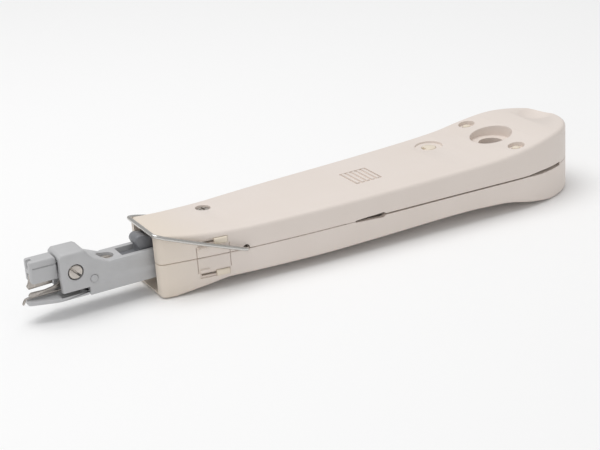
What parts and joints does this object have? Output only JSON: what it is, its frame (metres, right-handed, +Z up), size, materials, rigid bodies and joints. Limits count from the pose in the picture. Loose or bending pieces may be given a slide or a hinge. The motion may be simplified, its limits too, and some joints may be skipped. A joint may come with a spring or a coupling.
{
  "type": "punch down tool",
  "caption": "Hand punch down tool: slim two-shell handle, spring-loaded grey head with an insertion blade and shear, wire bail, cut lock and two fold-out blades.",
  "frame": {"origin": "centre of the tool's box, on the surface that it lies on", "axes": "+X from the head to the round rear end, +Z up through the top shell, the side with the cut lock faces -Y"},
  "size_m": [0.1764, 0.035, 0.0208],
  "materials": {
    "cream_plastic": "fine satin moulded plastic, cream",
    "grey_plastic": "satin moulded plastic, light grey",
    "dark_plastic": "satin moulded plastic, dark grey",
    "steel": "bright steel",
    "spring_steel": "drawn spring wire"
  },
  "bodies": {
    "handle": {"top_shell": "cream_plastic", "bottom_shell": "cream_plastic", "front_case_screw": "steel", "rear_case_screw": "steel", "screw_cover_plug": "cream_plastic", "blade_pivot_pin": "cream_plastic", "hook_pivot_pin": "cream_plastic", "travel_stop_pin": "steel", "spring_seat": "steel", "main_spring": "spring_steel"},
    "head": {"head_arm": "grey_plastic", "nose_block": "grey_plastic", "insertion_blade": "steel", "fixed_cutter": "steel", "head_clamp_screw": "steel", "adjuster_screw": "steel", "jaw_pivot_pin": "grey_plastic", "latch_pin": "steel", "plunger_rod": "steel", "latch_spring": "spring_steel"},
    "jaw": {"lower_jaw": "grey_plastic", "moving_cutter": "steel"},
    "latch": {"latch_lever": "dark_plastic"},
    "bail": {"bail_wire": "steel"},
    "cut_lock": {"cut_lock_slider": "cream_plastic"},
    "release_blade": {"release_blade": "steel"},
    "wire_hook": {"wire_hook": "steel"}
  },
  "joints": [
    {"name": "head_plunge", "type": "slide", "parent": "handle", "child": "head", "axis": [1, 0, 0], "range_m": [0, 0.005], "stiffness_N_per_m": 3000, "springref_m": -0.002, "deforming": ["main_spring"]},
    {"name": "jaw_swing", "type": "hinge", "parent": "head", "child": "jaw", "pos_m": [-0.06875, 0, 0.00965], "axis": [0, 1, 0], "range_deg": [0, 3.5]},
    {"name": "latch_press", "type": "hinge", "parent": "head", "child": "latch", "pos_m": [-0.04435, 0, 0.0097], "axis": [0, -1, 0], "range_deg": [0, 6], "stiffness_Nm_per_rad": 0.2, "springref_deg": -2.86, "deforming": ["latch_spring"]},
    {"name": "bail_swing", "type": "hinge", "parent": "handle", "child": "bail", "pos_m": [-0.02735, 0, 0.0104], "axis": [0, 1, 0], "range_deg": [0, 80]},
    {"name": "cut_lock_slide", "type": "slide", "parent": "handle", "child": "cut_lock", "axis": [-0.9877, 0.1564, 0], "range_m": [0, 0.004]},
    {"name": "release_blade_swing", "type": "hinge", "parent": "handle", "child": "release_blade", "pos_m": [0.06415, -0.0128, 0.0101], "axis": [0, 0, 1], "range_deg": [0, 145]},
    {"name": "wire_hook_swing", "type": "hinge", "parent": "handle", "child": "wire_hook", "pos_m": [0.06415, 0.0128, 0.0101], "axis": [0, 0, -1], "range_deg": [0, 145]}
  ],
  "couplings": [
    {"joint": "jaw_swing", "follows": "head_plunge", "rad_per_m": 12.2}
  ]
}
